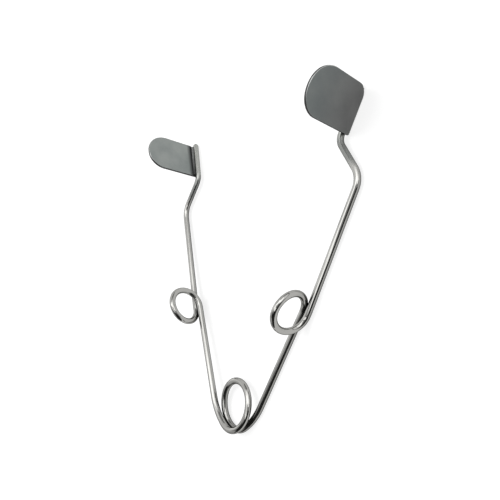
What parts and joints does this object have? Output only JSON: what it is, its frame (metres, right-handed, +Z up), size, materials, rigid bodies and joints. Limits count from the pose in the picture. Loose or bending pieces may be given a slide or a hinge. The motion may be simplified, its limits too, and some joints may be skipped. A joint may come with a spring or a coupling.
{
  "type": "cheek dilator",
  "caption": "Spring-wire cheek dilator: a coiled V of round wire with a grip loop on each arm and an upright rounded blade brazed to each end.",
  "frame": {"origin": "centre of the coil's eye, on the surface that the instrument lies on", "axes": "+Z up out of that surface and along the coil's axis, +Y from the coil along the middle of the V towards the blades, +X towards the right arm"},
  "size_m": [0.0826, 0.1007, 0.0213],
  "materials": {
    "spring_wire": "polished stainless spring wire",
    "blade_plate": "satin stainless plate",
    "braze": "dull cast silver braze"
  },
  "bodies": {
    "coil": {"spring_coil": "spring_wire"},
    "right_arm": {"right_lower_arm": "spring_wire", "right_grip_loop": "spring_wire", "right_upper_arm": "spring_wire", "right_blade": "blade_plate", "right_braze": "braze"},
    "left_arm": {"left_lower_arm": "spring_wire", "left_grip_loop": "spring_wire", "left_upper_arm": "spring_wire", "left_blade": "blade_plate", "left_braze": "braze"}
  },
  "joints": [
    {"name": "right_arm_squeeze", "type": "hinge", "parent": "coil", "child": "right_arm", "pos_m": [0, 0, 0], "axis": [0, 0, 1], "range_deg": [0, 20], "stiffness_Nm_per_rad": 2.2, "deforming": ["spring_coil"]},
    {"name": "left_arm_squeeze", "type": "hinge", "parent": "coil", "child": "left_arm", "pos_m": [0, 0, 0], "axis": [0, 0, -1], "range_deg": [0, 20], "stiffness_Nm_per_rad": 2.2, "deforming": ["spring_coil"]}
  ],
  "couplings": [
    {"joint": "left_arm_squeeze", "follows": "right_arm_squeeze", "ratio": 1}
  ]
}
